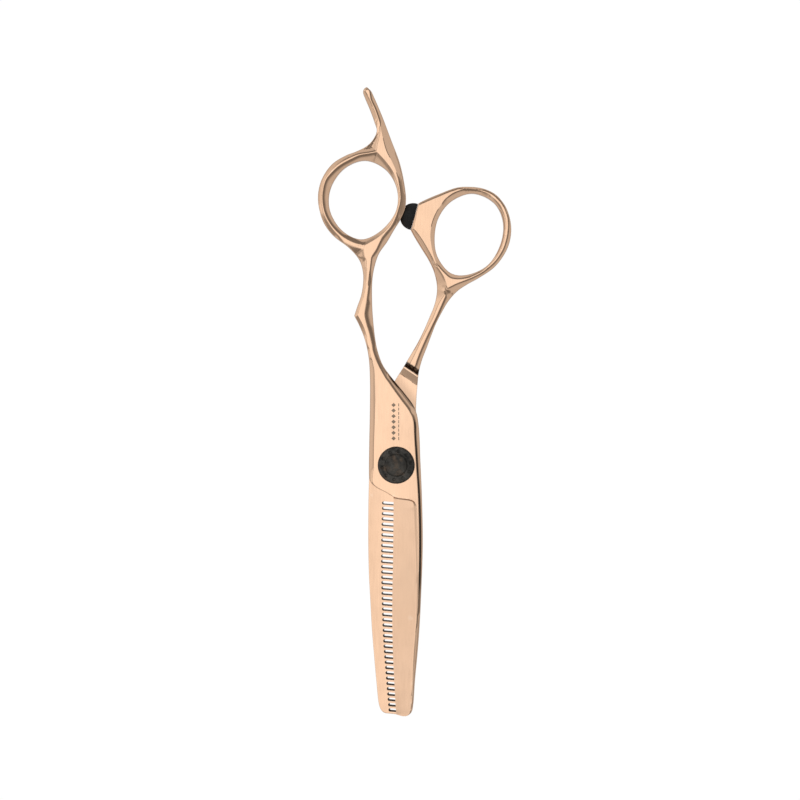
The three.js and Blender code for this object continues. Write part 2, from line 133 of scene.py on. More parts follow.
TOOTHED_LEFT = [
    (1.95, -67.0), (1.2, -67.35), (-1.2, -67.18), (-3.17, -66.93), (-3.8, -66.5), (-4.3, -65.75),
    (-4.7, -64.5), (-5.4, -58.05), (-6.0, -51.3), (-6.55, -44.55), (-7.0, -36.45), (-7.36, -29.7),
    (-7.55, -21.6), (-7.5, -9.45), (-7.36, -4.0), (-7.2, 3.0), (-6.9, 9.0), (-6.2, 13.2), (-4.4, 16.8),
    (-1.9, 20.2), (-0.1, 23.2), (2.1, 26.7), (4.05, 30.0), (5.9, 33.2), (7.5, 36.45), (8.9, 39.7),
    (10.2, 42.9), (10.85, 45.6), (11.0, 48.3), (10.2, 52.1), (8.7, 55.35), (6.7, 58.6), (4.7, 61.9),
]
THUMB_HOLE = [
    (20.53, 73.25), (26.37, 70.71), (28.77, 65.75), (28.17, 59.72), (24.42, 53.7), (18.4, 51.19),
    (14.51, 51.87), (11.08, 56.3), (10.35, 61.24), (11.38, 66.61), (14.73, 71.04),
]
GRIND_LINE = [
    (-0.9, -8.4), (0.42, -8.82), (2.5, -9.09), (4.02, -9.37), (4.85, -9.85), (5.33, -10.68), (5.57, -11.8),
    (5.68, -13.7), (5.78, -17.0), (5.84, -25.65), (5.7, -36.5), (5.35, -43.0), (5.1, -46.5),
]
SLOT_ROOTS = [
    (-3.87, -10.26), (-4.12, -21.6), (-4.12, -28.35), (-3.96, -37.0), (-3.58, -47.25), (-2.93, -56.2),
    (-2.12, -66.15),
]


# ---------------------------------------------------------------- flats on top of the forgings, in mm
# Each flat is a closed outline in stretches that meet at corners. Facets fall away from it on every side.
STRAIGHT_FLAT = [
    [
        (-8.43, 59.24), (-5.18, 61.17), (-3.25, 62.75), (-1.67, 64.5), (-0.75, 66.27), (0.25, 68.6),
        (0.95, 71.7), (0.85, 73.9), (0.15, 76.8), (-1.1, 79.62), (-3.1, 82.3),
    ],
    [
        (-5.2, 84.6), (-4.93, 86.6), (-4.5, 88.2), (-4.3, 89.8), (-4.5, 91.9), (-5.15, 94.1), (-6.02, 96.4),
        (-7.0, 98.5), (-7.8, 100.1),
    ],
    [
        (-8.2, 100.9), (-7.55, 101.25), (-7.3, 100.6), (-6.92, 98.5), (-5.95, 96.4), (-5.08, 94.1),
        (-4.42, 91.9), (-3.95, 89.6), (-3.5, 87.9), (-3.1, 86.3), (-2.65, 84.8), (-1.7, 82.9),
        (-0.9, 81.3), (-0.1, 79.4), (0.8, 75.6), (1.15, 71.54), (0.6, 69.0), (-0.4, 66.27), (-1.4, 64.5),
        (-2.8, 62.75), (-4.05, 61.17), (-5.65, 58.0), (-6.65, 56.4), (-7.05, 53.9), (-7.45, 49.8),
        (-7.95, 45.7), (-8.6, 42.1), (-8.78, 40.7), (-8.4, 38.6), (-7.5, 35.4), (-6.3, 30.4),
        (-5.4, 28.0), (-3.25, 23.9), (-0.75, 20.2), (1.15, 17.6), (3.15, 14.95), (4.02, 13.4),
        (4.55, 11.5), (4.72, 8.0), (4.97, 4.0), (5.27, -1.0), (5.66, -6.8), (5.89, -12.3), (6.0, -19.0),
        (5.92, -30.0), (5.45, -42.0), (4.9, -48.5), (4.6, -53.0), (4.4, -58.0), (4.25, -62.0),
        (4.15, -66.0),
    ],
    [(4.1, -70.0)],
    [(-3.0, -70.0)],
    [(-3.0, -10.0)],
    [
        (-0.6, -8.45), (-2.75, -7.15), (-5.2, -5.8), (-6.3, -4.7), (-6.3, -3.2), (-6.1, -1.0),
        (-6.0, 5.0), (-5.78, 12.2), (-5.63, 17.6), (-5.71, 22.2), (-5.9, 25.6), (-6.66, 29.05),
        (-7.43, 32.8), (-8.7, 37.1),
    ],
    [(-10.4, 40.4), (-9.83, 42.5), (-8.76, 45.7), (-8.19, 48.7), (-7.9, 52.3), (-7.95, 55.9)],
]
THUMB_FLAT = [
    [(6.1, 70.15), (9.08, 71.4), (11.56, 72.45), (13.85, 73.45), (16.2, 74.2)],
    [
        (18.6, 74.6), (16.0, 73.75), (14.0, 72.5), (12.2, 70.3), (10.6, 67.7), (9.6, 65.0), (9.2, 62.1),
        (9.4, 59.6), (10.25, 55.9), (11.3, 53.6), (13.29, 51.4), (14.6, 50.35), (16.8, 50.0), (18.6, 50.2),
    ],
    [(20.3, 50.6), (18.4, 49.85), (16.2, 49.0)],
    [(13.85, 47.8), (13.35, 49.8), (12.55, 51.5), (11.2, 53.5), (9.95, 55.6), (8.75, 57.85), (6.75, 61.2)],
    [(4.8, 63.75)],
]
SHANK_FLAT = [
    [
        (13.3, 45.95), (12.25, 43.6), (10.7, 40.1), (9.05, 36.7), (7.4, 33.2), (5.95, 29.8), (5.1, 27.2),
        (4.45, 23.0), (3.9, 16.5), (3.85, 11.5), (4.2, 5.0), (4.45, 0.0), (4.1, -3.8), (3.1, -5.8),
    ],
    [(1.9, -7.2)],
    [(4.0, -9.0)],
    [(4.0, -70.0)],
    [(-2.4, -70.0)],
    [
        (-3.3, -64.0), (-4.3, -58.0), (-5.4, -44.5), (-6.2, -31.0), (-6.4, -19.0), (-6.3, -4.0), (-6.0, 3.0),
        (-5.7, 8.8), (-5.1, 12.6), (-3.4, 16.1), (-0.9, 19.5), (0.9, 22.6), (2.7, 25.6), (3.94, 27.4),
        (5.2, 29.8), (6.75, 33.1), (8.5, 36.55), (10.3, 40.0), (11.7, 43.4),
    ],
]
# The crest of each ring, with half the width of its flat at each point.
FINGER_CREST = [
    (-5.3, 84.5, 0.03), (-7.6, 84.05, 0.04), (-9.84, 83.7, 0.05), (-11.5, 83.04, 0.12),
    (-15.02, 81.2, 0.16), (-17.48, 79.09, 0.14), (-19.15, 76.8, 0.08), (-19.94, 73.3, 0.04),
    (-19.97, 71.5, 0.04), (-19.37, 68.0, 0.05), (-17.65, 64.7, 0.06), (-15.19, 61.96, 0.15),
    (-13.44, 60.7, 0.18), (-11.2, 59.65, 0.16), (-9.1, 59.2, 0.12),
]
THUMB_CREST = [
    (20.1, 50.55, 0.05), (22.9, 51.95, 0.05), (25.0, 53.6, 0.08), (26.7, 55.3, 0.12), (28.5, 58.1, 0.16),
    (29.45, 61.0, 0.18), (29.85, 63.6, 0.2), (29.75, 66.6, 0.2), (28.1, 70.5, 0.18), (25.4, 72.95, 0.16),
    (23.8, 73.7, 0.12), (22.4, 74.15, 0.02), (18.8, 74.6, 0.01),
]


# ---------------------------------------------------------------- plane geometry
def spline(points, closed=False, spacing=0.4):
    """Evenly spaced points along a centripetal Catmull-Rom curve, the last one left out."""
    control = np.array(points, float)
    if len(control) == 2:
        count = max(1, round(float(np.linalg.norm(control[1] - control[0])) / spacing))
        steps = np.linspace(0, 1, count, endpoint=False)[:, None]
        return control[0] + steps * (control[1] - control[0])
    if closed:
        control = np.vstack([control[-1], control, control[0], control[1]])
    else:
        before = 2 * control[0] - control[1]
        after = 2 * control[-1] - control[-2]
        control = np.vstack([before, control, after])
    dense = []
    for p0, p1, p2, p3 in zip(control, control[1:], control[2:], control[3:]):
        t1 = np.linalg.norm(p1 - p0) ** 0.5
        t2 = t1 + np.linalg.norm(p2 - p1) ** 0.5
        t3 = t2 + np.linalg.norm(p3 - p2) ** 0.5
        t = np.linspace(t1, t2, 24, endpoint=False)[:, None]
        a1 = (t1 - t) / t1 * p0 + t / t1 * p1
        a2 = (t2 - t) / (t2 - t1) * p1 + (t - t1) / (t2 - t1) * p2
        a3 = (t3 - t) / (t3 - t2) * p2 + (t - t2) / (t3 - t2) * p3
        b1 = (t2 - t) / t2 * a1 + t / t2 * a2
        b2 = (t3 - t) / (t3 - t1) * a2 + (t - t1) / (t3 - t1) * a3
        dense.append((t2 - t) / (t2 - t1) * b1 + (t - t1) / (t2 - t1) * b2)
    end = control[1] if closed else control[-2]
    dense = np.vstack([*dense, end])
    return evenly(dense, spacing)[:-1]


def evenly(polyline, spacing):
    """The same polyline with points about `spacing` apart, both ends kept."""
    lengths = np.r_[0, np.cumsum(np.linalg.norm(np.diff(polyline, axis=0), axis=1))]
    marks = np.linspace(0, lengths[-1], max(2, round(lengths[-1] / spacing)) + 1)
    return np.column_stack([np.interp(marks, lengths, column) for column in polyline.T])


def stitched(stretches, spacing=0.4):
    """One closed outline from stretches that meet at corners, and each stretch's own polyline."""
    runs = [[*points, stretches[(i + 1) % len(stretches)][0]] for i, points in enumerate(stretches)]
    parts = [spline(run, spacing=spacing) for run in runs]
    lines = [np.vstack([part, run[-1]]) for part, run in zip(parts, runs)]
    return np.vstack(parts), lines


def ribbon(crest):
    """The outline of a strip along a curve; each of its points gives x, y and half the width."""
    line = np.vstack([spline(crest), crest[-1]])
    along = np.gradient(line[:, :2], axis=0)
    side = np.column_stack([-along[:, 1], along[:, 0]]) / np.linalg.norm(along, axis=1)[:, None]
    offset = side * line[:, 2:]
    return np.vstack([line[:, :2] + offset, (line[:, :2] - offset)[::-1]])


def circle(radius, count, centre=(0.0, 0.0)):
    angle = np.linspace(0, 2 * math.pi, count, endpoint=False)
    return np.column_stack([centre[0] + radius * np.cos(angle), centre[1] + radius * np.sin(angle)])


def closed(loop):
    return np.vstack([loop, loop[:1]])


def distance_to(points, polyline):
    """How far each point is from an open polyline."""
    start, step = polyline[:-1], np.diff(polyline, axis=0)
    length2 = np.maximum((step**2).sum(1), 1e-12)
    out = np.empty(len(points))
    for low in range(0, len(points), 2000):
        x, y = (points[low : low + 2000, k, None] - start[:, k] for k in (0, 1))
        along = np.clip((x * step[:, 0] + y * step[:, 1]) / length2, 0, 1)
        out[low : low + 2000] = ((x - along * step[:, 0]) ** 2 + (y - along * step[:, 1]) ** 2).min(1)
    return np.sqrt(out)


def nearest(points, lines):
    """How far each point is from the nearest of several open polylines."""
    return np.min([distance_to(points, line) for line in lines], axis=0)


def inside(points, loop):
    """Which points lie inside a closed loop."""
    x, y = points.T
    result = np.zeros(len(points), bool)
    for (x0, y0), (x1, y1) in zip(loop, np.roll(loop, -1, axis=0)):
        crosses = (y0 > y) != (y1 > y)
        if crosses.any():
            result ^= crosses & (x < (x1 - x0) * (y - y0) / ((y1 - y0) or 1e-12) + x0)
    return result


def gap_to(points, shapes):
    """How far each point is outside the nearest of several filled outlines."""
    gaps = [np.where(inside(points, shape), 0, distance_to(points, closed(shape))) for shape in shapes]
    return np.min(gaps, axis=0)


def smoothstep(t):
    t = np.clip(t, 0, 1)
    return t * t * (3 - 2 * t)


def between(value, low, high):
    return smoothstep((value - low) / (high - low))


def locally(points, value, places):
    """A value that changes to another one beside each of some segments: (start, end, reach, value there)."""
    for start, end, reach, there in places:
        beside = between(distance_to(points, np.array([start, end])), reach, reach / 2)
        value = value + (there - value) * beside
    return value


# ---------------------------------------------------------------- relief meshes
RIM_DEPTHS = (0.04, 0.09, 0.15, 0.3, 0.5, 0.75)
FACET_DEPTHS = (0.14, 0.3, 0.48, 0.75, 1.05, 1.4)
ROW_TOLERANCE = 0.015
# How far the rows and the lattice stay from the rims and from the lines inside them.
LINE_TO_RIM = 0.1
RIM_ROW_TO_LINE = 0.07
FACET_ROW_TO_RIM = 0.58
LATTICE_TO_RIM = 0.75
LATTICE_TO_LINE = 0.95
LATTICE_PITCH = 0.75
LEAST_HEIGHT = 0.05
RELIEF_SHARP_DEG = 24.0


def parallel(line, depth, others):
    """Points to both sides of a line at one distance, without those that come nearer to anything else."""
    along = np.gradient(line, axis=0)
    side = np.column_stack([-along[:, 1], along[:, 0]])
    side /= np.maximum(np.linalg.norm(side, axis=1), 1e-9)[:, None]
    moved = np.vstack([line + depth * side, line - depth * side])
    return moved[nearest(moved, others) > depth - ROW_TOLERANCE]


def pieces_inside(line, keep):
    """The runs of a polyline whose points are all kept."""
    breaks = np.flatnonzero(np.diff(keep.astype(int))) + 1
    runs = np.split(np.arange(len(line)), breaks)
    return [line[run] for run in runs if keep[run[0]] and len(run) > 1]


def plan_mesh(loops, lines):
    """Triangulates a plan view. loops[0] is the outline and the rest are holes; mesh edges also follow the
    lines, and points lie in rows beside all of them."""
    rims = [closed(loop) for loop in loops]

    def in_plan(points):
        result = inside(points, loops[0])
        for hole in loops[1:]:
            result &= ~inside(points, hole)
        return result

    kept = []
    for line in lines:
        kept += pieces_inside(line, in_plan(line) & (nearest(line, rims) > LINE_TO_RIM))
    rim_rows = np.vstack([parallel(rim, depth, rims) for rim in rims for depth in RIM_DEPTHS])
    rim_rows = rim_rows[nearest(rim_rows, kept) > RIM_ROW_TO_LINE]
    facet_rows = np.vstack([parallel(line, depth, kept) for line in kept for depth in FACET_DEPTHS])
    facet_rows = facet_rows[nearest(facet_rows, rims) > FACET_ROW_TO_RIM]
    low, high = loops[0].min(0), loops[0].max(0)
    xs = np.arange(low[0], high[0], LATTICE_PITCH)
    ys = np.arange(low[1], high[1], LATTICE_PITCH * math.sqrt(3) / 2)
    lattice = np.array([(x + LATTICE_PITCH / 2 * (j % 2), y) for j, y in enumerate(ys) for x in xs])
    lattice = lattice[in_plan(lattice)]
    room = (nearest(lattice, rims) > LATTICE_TO_RIM) & (nearest(lattice, kept) > LATTICE_TO_LINE)
    free = np.vstack([rim_rows, facet_rows])
    free = np.vstack([free[in_plan(free)], lattice[room]])
    edges, count = [], 0
    for k, line in enumerate([*loops, *kept]):
        last = len(line) if k < len(loops) else len(line) - 1
        edges += [(count + i, count + (i + 1) % len(line)) for i in range(last)]
        count += len(line)
    points = np.vstack([*loops, *kept, free])
    verts, _, faces, *_ = delaunay_2d_cdt([Vector(p) for p in points], edges, [], 0, 1e-5)
    verts = np.array([tuple(v) for v in verts])
    faces = np.array(faces)
    faces = faces[in_plan(verts[faces].mean(1))]
    used = np.unique(faces)
    index = np.zeros(len(verts), int)
    index[used] = np.arange(len(used))
    return verts[used], index[faces]


def boundary_edges(faces):
    """Directed edges that only one face uses."""
    edges = np.vstack([faces[:, [0, 1]], faces[:, [1, 2]], faces[:, [2, 0]]])
    have = {tuple(e) for e in edges}
    return [e for e in map(tuple, edges) if (e[1], e[0]) not in have]


def relief_object(name, plan, top, bottom, hollow, walls=None):
    """A closed solid between an upper and a lower height over one plan mesh. Painted shade darkens it where
    the attribute hollow is 1: at an upper point, or all over each upper face whose middle is on a wall."""
    verts, faces = plan
    z_top, z_bottom = top(verts), bottom(verts)
    z_top = np.maximum(z_top, z_bottom + LEAST_HEIGHT)
    coords = np.vstack([np.column_stack([verts, z_top]), np.column_stack([verts, z_bottom])])
    count = len(verts)
    polygons = [tuple(f) for f in faces] + [tuple(f[::-1] + count) for f in faces]
    polygons += [(b, a, a + count, b + count) for a, b in boundary_edges(faces)]
    obj = mesh_object(name, coords, polygons, RELIEF_SHARP_DEG)
    corners = np.empty(len(obj.data.loops), np.int32)
    obj.data.loops.foreach_get("vertex_index", corners)
    # Painted shade for the material, carried as the attribute hollow.
    values = np.concatenate([hollow(verts), np.zeros(count)])[corners].astype(np.float32)
    if walls:
        on_wall = np.repeat(walls(verts[faces].mean(1)), 3)
        values[: len(on_wall)] = np.maximum(values[: len(on_wall)], on_wall)
    obj.data.attributes.new("hollow", "FLOAT", "CORNER").data.foreach_set("value", values)
    return obj


def mesh_object(name, coords, polygons, sharp_deg):
    mesh = bpy.data.meshes.new(name)
    mesh.from_pydata((np.asarray(coords) * MM).tolist(), [], [tuple(int(i) for i in p) for p in polygons])
    mesh.validate()
    mesh.shade_smooth()
    mesh.set_sharp_from_angle(angle=math.radians(sharp_deg))
    return in_scene(name, mesh)


def in_scene(name, data):
    obj = bpy.data.objects.new(name, data)
    bpy.context.scene.collection.objects.link(obj)
    return obj


# ---------------------------------------------------------------- the two forged halves
FACET_SLOPE = 0.53
THUMB_SHANK_SLOPE = 0.31
ROUNDING = 0.5
RIM_RADIUS = 0.13
# Where the polishing made a facet flatter, its bend softer or tighter, the crease at its flat sharper or
# the edge rounder: start, end, reach, value.
STRAIGHT_SLOPES = [
    ((1.9, 63.0), (2.0, 77.0), 2.4, 0.38),
    ((-6.0, 36.0), (-5.3, 33.0), 2.2, 0.46),
    ((-5.2, 31.0), (-0.6, 24.6), 2.0, 0.38),
    ((-9.2, 34.8), (-11.0, 39.8), 1.5, 0.38),
    ((-11.0, 41.4), (-9.2, 49.0), 1.5, 0.42),
    ((-20.4, 69.5), (-16.9, 62.2), 1.3, 0.38),
    ((-12.6, 60.0), (-9.2, 57.4), 3.0, 0.2),
]
STRAIGHT_ROUNDINGS = [
    ((5.4, 12.0), (6.6, -38.0), 2.6, 1.0),
    ((-1.0, 22.0), (3.4, 16.4), 2.4, 0.9),
    ((-5.0, 30.5), (-1.5, 25.0), 2.4, 0.7),
    ((-7.0, 49.0), (-7.2, 45.0), 2.4, 0.9),
    ((-7.5, 42.0), (-7.0, 34.0), 3.2, 1.6),
    ((-5.5, 57.5), (-1.0, 64.5), 2.0, 0.9),
    ((1.9, 68.0), (2.0, 76.0), 2.0, 0.25),
    ((-4.5, 93.0), (-7.4, 100.4), 1.5, 0.6),
    ((-6.2, 93.0), (-8.6, 99.6), 1.3, 0.3),
    ((-5.9, 91.4), (-8.2, 87.0), 2.0, 3.2),
    ((-9.5, 57.5), (-14.0, 60.2), 2.5, 1.2),
]
# Over 0.3 the slope starts with a visible corner; over FACET_SLOPE the facet is ground hollow.
STRAIGHT_CREASES = [
    ((1.4, 79.5), (-2.6, 90.5), 2.6, 0.5),
    ((-8.4, 51.9), (-8.4, 49.5), 1.6, 0.55),
    ((-9.2, 34.8), (-11.0, 39.8), 1.5, 0.38),
    ((-11.0, 41.4), (-9.2, 49.0), 1.5, 0.42),
    ((-7.0, 27.0), (-6.8, 0.0), 1.6, 0.8),
    ((5.5, -45.0), (4.1, -72.0), 1.6, 0.53),
]
STRAIGHT_RIMS = [
    ((-1.2, 23.7), (4.0, 17.0), 1.6, 0.8),
    ((5.9, -42.0), (4.1, -72.0), 1.6, 0.6),
    ((0.4, 83.5), (2.6, 74.5), 1.6, 0.4),
]
TOOTHED_SLOPES = [
    ((4.8, 62.2), (8.9, 55.6), 1.4, 0.5),
    ((6.4, 71.0), (15.0, 74.4), 1.3, 0.38),
]
TOOTHED_ROUNDINGS = [
    ((13.5, 44.5), (6.6, 28.0), 2.0, 0.85),
    ((14.4, 46.0), (13.0, 47.6), 1.0, 0.3),
    ((6.4, 71.0), (15.0, 74.4), 1.4, 0.2),
    ((13.5, 70.6), (24.0, 72.6), 1.5, 0.9),
]
TOOTHED_CREASES = [
    ((10.6, 55.0), (10.2, 63.0), 1.8, 0.5),
    ((10.2, 63.0), (13.2, 70.4), 1.8, 0.5),
    ((6.4, 71.0), (15.0, 74.4), 1.3, 0.38),
    ((13.5, 70.6), (24.0, 72.6), 1.5, 0.36),
    ((18.0, 75.2), (22.6, 75.0), 1.2, 0.45),
    ((4.8, 62.2), (8.9, 55.6), 1.4, 0.4),
]
TOOTHED_RIMS = [
    ((28.9, 68.0), (27.6, 57.2), 1.6, 0.5),
    ((4.0, 62.4), (9.6, 53.0), 1.4, 0.4),
    ((10.4, 50.0), (5.2, 31.8), 1.2, 0.3),
]
HOLE_BEVEL = {"reach": 2.4, "fade": 0.6, "rounding": 1.0, "crease": 0.12}
MOST_DROP = 1.9
BLADE_FLATTER = 0.35
LEDGE = {"run": 2.3, "top": 0.32, "height": 0.34}
STEP_RUN = 1.72
STEP_CURVE = 1.7
STEP_TOP = 1.6
STEP_START = (4.1, 25.26)
STEP_TOWARDS = (0.56, 0.8285)
UNDER_STEP_START = (-5.0, 25.2)
UNDER_STEP_TOWARDS = (-0.56, 0.83)
CROWN = 0.05
HALF_RIDE = 6.5
EDGE_BEYOND_TIP = (0.3, -73.0)
# How wide the fillet beside the ground face is at some places along the blade.
GRIND_WALLS = ((-34.0, -16.0, -11.5, -9.8), (0.2, 0.8, 0.8, 0.3))
# Between these values of y the ground face's right side is the flat's own.
GRIND_ALONG_FLAT = (-69.9, -46.4)
INNER_HOLLOW = 0.1
INNER_ROUND = 0.12
# Bores and wells round the pivot. A well's wall leans outwards by WELL_LEAN from the rim of its floor.
STRAIGHT_BORE = 2.06
TOOTHED_BORE = 2.76
SPRING_WELL = {"radius": 3.85, "floor": 3.4}
COUNTERBORE = {"radius": 3.6, "floor": 0.9}
GLIDE_RECESS = {"radius": 4.5, "floor": 2.15}
WELL_LEAN = 0.03
WELL_EDGE = 0.01
# Painted shade: how wide each dark place is, and the ranges of x and y over which it comes in and fades.
STEP_SHADE = {"start": 0.05, "end": 0.3}
HEEL_SHADE = {"tone": 0.45, "far": 0.45, "near": 0.3, "y": (-11, -10)}
RIDE_SHADE = {"x": (3, 4), "low": (-36, -31), "high": (13, 11)}
EDGE_SHADE = {"x": (-2, -1), "low": (14.5, 16.5), "high": (25.5, 24), "width": 0.5}


def facet_drop(gap, slope, rounding, crease):
    """How far a facet lies below its flat: it bends down over the rounding, then runs straight."""
    bent = np.minimum(gap, rounding)
    return crease * bent + (slope - crease) * bent**2 / (2 * rounding) + slope * (gap - bent)


def rim_drop(gap, radius):
    """A quarter round along an edge."""
    inwards = 1 - np.clip(gap / radius, 0, 1)
    return radius * (1 - np.sqrt(1 - inwards**2))


def blade_fraction(y):
    return np.clip((BLADE_START_Y - y) / (BLADE_START_Y - BLADE_END_Y), 0, 1)


def step_height(points, start, towards):
    """0 on the inner face, rising over a ledge and then a hollow to beyond 1, which is the full shank."""
    towards = np.array(towards) / np.linalg.norm(towards)
    s = (points - np.array(start)) @ towards
    full = LEDGE["height"] / MID
    ledge = full * np.clip(1 + (s + LEDGE["top"]) / (LEDGE["run"] - LEDGE["top"]), 0, 1)
    hollow = np.clip(s / STEP_RUN, 0, 1) ** STEP_CURVE
    return np.where(s < 0, ledge, full + (STEP_TOP - full) * hollow)


def step_lines():
    """Lines across the toothed half where its step's slope changes."""
    towards = np.array(STEP_TOWARDS)
    aside = np.array([towards[1], -towards[0]])
    changes = (-LEDGE["run"], -LEDGE["top"], -0.04, 0.0, STEP_RUN)
    places = [np.array(STEP_START) + s * towards for s in changes]
    return [np.array([place + t * aside for t in np.arange(-5, 5.1, 0.4)]) for place in places]


def well_rims(*wells):
    """The upper and lower edges of the wells' walls."""
    radii = [well["radius"] + lean for well in wells for lean in (0, WELL_LEAN)]
    return [closed(circle(radius, 64)) for radius in radii]


def sunk(p, well, height):
    """The height with a well's floor let into it."""
    return np.where(np.hypot(*p.T) < well["radius"] + WELL_EDGE, well["floor"], height)


def window(p, shade):
    """1 to the right of an x and between two values of y, each given as the range over which it fades."""
    x, y = p.T
    return between(x, *shade["x"]) * between(y, *shade["low"]) * between(y, *shade["high"])


def straight_half():
    outer, (right, edge, left, ring) = stitched(STRAIGHT_OUTLINE)
    hole = spline(FINGER_HOLE, closed=True)
    flats = [stitched(STRAIGHT_FLAT)[0], ribbon(FINGER_CREST)]
    x, y = flats[0].T
    low, high = GRIND_ALONG_FLAT
    grind = np.vstack([spline(GRIND_LINE), flats[0][(x > 3) & (y < high) & (y > low)]])
    grind_side = grind[grind[:, 1] < -11]
    ground_area = np.vstack([grind, [(-12, -75), (-12, -8.4)]])
    flat_rims = [closed(flat) for flat in flats]
    plan = plan_mesh([outer, hole, circle(STRAIGHT_BORE, 40)], [*well_rims(SPRING_WELL), *flat_rims, grind])
    sides = np.vstack([left, ring])

    def bevels(p):
        to_hole = distance_to(p, closed(hole))
        reach, fade = HOLE_BEVEL["reach"], HOLE_BEVEL["fade"]
        nearer_hole = between(nearest(p, (sides, right)) - to_hole, -fade, fade / 2)
        bevel = between(to_hole, reach, reach - fade) * nearer_hole
        slope = locally(p, FACET_SLOPE, STRAIGHT_SLOPES)
        rounding = locally(p, ROUNDING + (HOLE_BEVEL["rounding"] - ROUNDING) * bevel, STRAIGHT_ROUNDINGS)
        crease = locally(p, HOLE_BEVEL["crease"] * bevel, STRAIGHT_CREASES)
        return np.minimum(facet_drop(gap_to(p, flats), slope, rounding, crease), MOST_DROP)

    def drop(p):
        rim = nearest(p, (sides, right, closed(hole)))
        return bevels(p) + rim_drop(rim, locally(p, RIM_RADIUS, STRAIGHT_RIMS))

    def facets(p, fall):
        x, y = p.T
        crown = CROWN * (x / HALF_RIDE) ** 2 * between(y, 26, 20)
        return -fall(p) * (1 - BLADE_FLATTER * blade_fraction(y)) - crown

    def top(p):
        x, y = p.T
        flat = THICKNESS - (THICKNESS - STRAIGHT_INNER_Z - TIP_THICKNESS) * blade_fraction(y)
        height = flat + facets(p, drop)
        edge_z = STRAIGHT_INNER_Z + EDGE_THICKNESS
        span = distance_to(p, np.vstack([EDGE_BEYOND_TIP, edge]))
        line_fall = np.interp(-y, -grind_side[:, 1], facets(grind_side, bevels))
        line_z = flat + line_fall - 0.02 - 0.12 * between(y, -46, -30)
        ground = edge_z + (line_z - edge_z) * span / (span + distance_to(p, grind_side) + 0.01)
        into = np.where(inside(p, ground_area), distance_to(p, grind), 0)
        wall = np.interp(y, *GRIND_WALLS)
        ground = height + (np.minimum(ground, height) - height) * smoothstep(into / wall)
        return sunk(p, SPRING_WELL, ground)

    def bottom(p):
        step = step_height(p, UNDER_STEP_START, UNDER_STEP_TOWARDS)
        return np.maximum(drop(p), STRAIGHT_INNER_Z * (1 - np.minimum(step, 1)))

    def hollow(p):
        """A painted dark reflection line beside the ride's right facet, a painted shadow along the edge over
        the crossing, and painted shade on the heel's step.
        """
        gap = gap_to(p, flats)
        # Painted dark reflection beside the ride's right facet.
        line = between(gap, 0.16, 0.28) * between(gap, 0.8, 0.6) * window(p, RIDE_SHADE)
        width = EDGE_SHADE["width"]
        # Painted shadow along the right outline over the crossing.
        edge_shadow = between(distance_to(p, right), width, width / 2) * window(p, EDGE_SHADE)
        # Painted shade on the heel's step.
        near_line = between(distance_to(p, grind), HEEL_SHADE["far"], HEEL_SHADE["near"])
        in_heel = inside(p, ground_area) * near_line * between(p[:, 1], *HEEL_SHADE["y"])
        return np.max([line, edge_shadow, HEEL_SHADE["tone"] * in_heel], axis=0)

    return relief_object("straight_half_forging", plan, top, bottom, hollow)


def slot_places():
    """The centre of every slot's round root, the directions along and across the slots, and how far each
    slot's opening is moved and how round it is: they lean, more so towards the tip."""
    roots = spline(SLOT_ROOTS, spacing=0.1)
    ys = np.linspace(FIRST_SLOT_Y, LAST_SLOT_Y, SLOTS)
    xs = [roots[np.abs(roots[:, 1] - y).argmin()][0] + SLOT_WIDTH / 2 for y in ys]
    along = np.array([math.cos(SLOT_TILT), math.sin(SLOT_TILT)])
    radii = np.linspace(*OPENING_RADII, SLOTS)
    shifts = np.column_stack([np.full(SLOTS, OPENING_ASIDE), SLOT_TOP_RADIUS - 0.01 - radii])
    return np.column_stack([xs, ys]), along, np.array([-along[1], along[0]]), shifts, radii


def slotted_tips():
    """The line of the tooth tips from top to bottom, running in and out of every slot's opening, and the
    upper outlines of the slots."""
    tips = spline([*TOOTH_TIPS, TOOTHED_LEFT[0]], spacing=0.1)
    centres, along, up, shifts, radii = slot_places()

    def outline(centre, radius):
        mouth_y = centre[1] + SLOT_TILT * SLOT_LENGTH
        reach = tips[np.abs(tips[:, 1] - mouth_y).argmin()][0] - centre[0]
        marks = np.linspace(0, reach, SLOT_SIDE_POINTS)
        angles = np.linspace(math.pi / 2, 3 * math.pi / 2, SLOT_ARC_POINTS)[1:-1]
        upper = [centre + along * t + up * radius for t in marks[::-1]]
        arc = [centre + radius * (math.cos(a) * along + math.sin(a) * up) for a in angles]
        lower = [centre + along * t - up * radius for t in marks]
        return np.array([*upper, *arc, *lower])

    moved = [centre + shift @ (along, up) for centre, shift in zip(centres, shifts)]
    openings = [outline(centre, radius) for centre, radius in zip(moved, radii)]
    slots = [outline(centre, SLOT_TOP_RADIUS)[SLOT_SIDE_POINTS - 1 :] for centre in centres]
    return np.vstack([TOOTH_TIPS[0], *openings]), slots


def beside_slots(p):
    """How far each point is outside the nearest slot's upper outline, and outside its opening."""
    centres, along, up, shifts, radii = slot_places()
    pitch = (FIRST_SLOT_Y - LAST_SLOT_Y) / (SLOTS - 1)
    nearest = np.rint((FIRST_SLOT_Y - p[:, 1]) / pitch).astype(int)
    upper, opening = np.full((2, len(p)), np.inf)
    for shift in (-1, 0, 1):
        slot = np.clip(nearest + shift, 0, SLOTS - 1)
        offset = p - centres[slot]
        t, q = offset @ along, offset @ up
        upper = np.minimum(upper, np.hypot(np.minimum(t, 0), q) - SLOT_TOP_RADIUS)
        gap = np.hypot(np.minimum(t - shifts[slot, 0], 0), q - shifts[slot, 1]) - radii[slot]
        opening = np.minimum(opening, gap)
    return upper, opening


def slot_drop(p):
    """The slots lean: each one's root and lower wall run inwards from its upper outline to its opening."""
    upper, opening = beside_slots(p)
    depth = np.clip(-upper, 0, None)
    wall = SLOT_WALL_DEPTH * depth / np.maximum(depth + np.maximum(opening, 0), 1e-6)
    return np.where(upper < 0, wall, 0)


